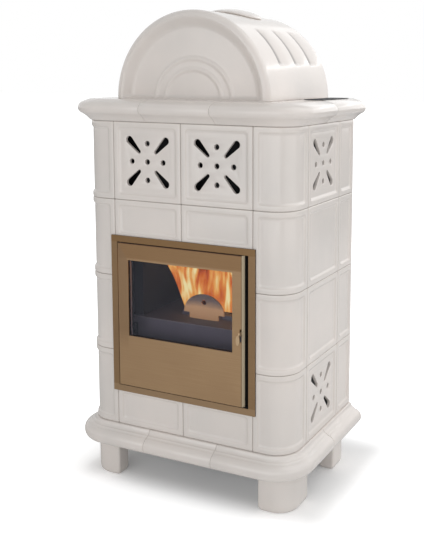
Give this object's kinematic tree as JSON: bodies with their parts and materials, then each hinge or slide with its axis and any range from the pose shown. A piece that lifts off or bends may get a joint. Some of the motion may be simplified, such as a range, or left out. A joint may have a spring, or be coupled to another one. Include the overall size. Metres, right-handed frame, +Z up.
{
  "type": "tiled stove",
  "caption": "Wood-burning stove clad in glazed ceramic tiles, with a glazed bronze-coloured door, a moulded plinth and cornice, and a half-barrel hood with a lid.",
  "frame": {"origin": "on the floor, under the middle of the whole stove's width and depth", "axes": "+X to the right as seen from the front, +Y towards the back, +Z up; the door faces -Y"},
  "size_m": [0.74, 0.54, 1.371],
  "materials": {
    "glaze": "gloss",
    "bronze": "satin metallic",
    "black_steel": "matte",
    "cast_iron": "matte",
    "sheet_steel": "satin",
    "fireclay": "rough",
    "glass": "gloss"
  },
  "bodies": {
    "stove": {"hood": "glaze", "cornice_front": "glaze", "base_moulding_front": "glaze", "cornice_corner_left": "glaze", "cornice_corner_right": "glaze", "cornice_side_left": "glaze", "cornice_side_right": "glaze", "base_moulding_corner_left": "glaze", "base_moulding_corner_right": "glaze", "base_moulding_side_left": "glaze", "base_moulding_side_right": "glaze", "front_foot_left": "glaze", "front_foot_right": "glaze", "rear_foot_left": "glaze", "rear_foot_right": "glaze", "rear_tile_column_left": "glaze", "rear_tile_column_right": "glaze", "front_tile_top_left": "glaze", "front_tile_top_right": "glaze", "front_tile_over_door_left": "glaze", "front_tile_over_door_right": "glaze", "front_tile_under_door_left": "glaze", "front_tile_under_door_right": "glaze", "corner_tile_1_left": "glaze", "corner_tile_1_right": "glaze", "corner_tile_2_left": "glaze", "corner_tile_2_right": "glaze", "corner_tile_3_left": "glaze", "corner_tile_3_right": "glaze", "corner_tile_4_left": "glaze", "corner_tile_4_right": "glaze", "side_tile_1_left": "glaze", "side_tile_1_right": "glaze", "side_tile_2_left": "glaze", "side_tile_2_right": "glaze", "side_tile_3_left": "glaze", "side_tile_3_right": "glaze", "side_tile_4_left": "glaze", "side_tile_4_right": "glaze", "door_surround": "bronze", "firebox_shell": "black_steel", "flue_collar": "black_steel", "vent_grille_left": "black_steel", "vent_grille_right": "black_steel", "hearth_plate": "cast_iron", "base_frame": "sheet_steel", "rear_panel": "sheet_steel", "ash_pan": "sheet_steel", "lining_left": "fireclay", "lining_right": "fireclay", "lining_rear": "fireclay", "baffle_plate": "fireclay"},
    "door": {"door_panel": "bronze", "door_glass": "glass", "glass_retainer": "black_steel"},
    "handle": {"door_handle": "bronze"},
    "lid": {"hood_lid": "glaze"},
    "guard": {"log_guard": "cast_iron"},
    "grate": {"fire_grate": "cast_iron"},
    "air_bar": {"air_slide": "sheet_steel"}
  },
  "joints": [
    {"name": "door_hinge", "type": "hinge", "parent": "stove", "child": "door", "pos_m": [-0.2, -0.231, 0.5], "axis": [0, 0, -1], "range_deg": [0, 110]},
    {"name": "handle_pivot", "type": "hinge", "parent": "door", "child": "handle", "pos_m": [0.187, -0.214, 0.496], "axis": [1, 0, 0], "range_deg": [0, 20]},
    {"name": "lid_lift", "type": "slide", "parent": "stove", "child": "lid", "axis": [0, 0, 1], "range_m": [0, 0.06]},
    {"name": "guard_lift", "type": "slide", "parent": "stove", "child": "guard", "axis": [0, 0, 1], "range_m": [0, 0.05]},
    {"name": "grate_lift", "type": "slide", "parent": "stove", "child": "grate", "axis": [0, 0, 1], "range_m": [0, 0.04]},
    {"name": "air_bar_slide", "type": "slide", "parent": "stove", "child": "air_bar", "axis": [1, 0, 0], "range_m": [0, 0.02]}
  ]
}
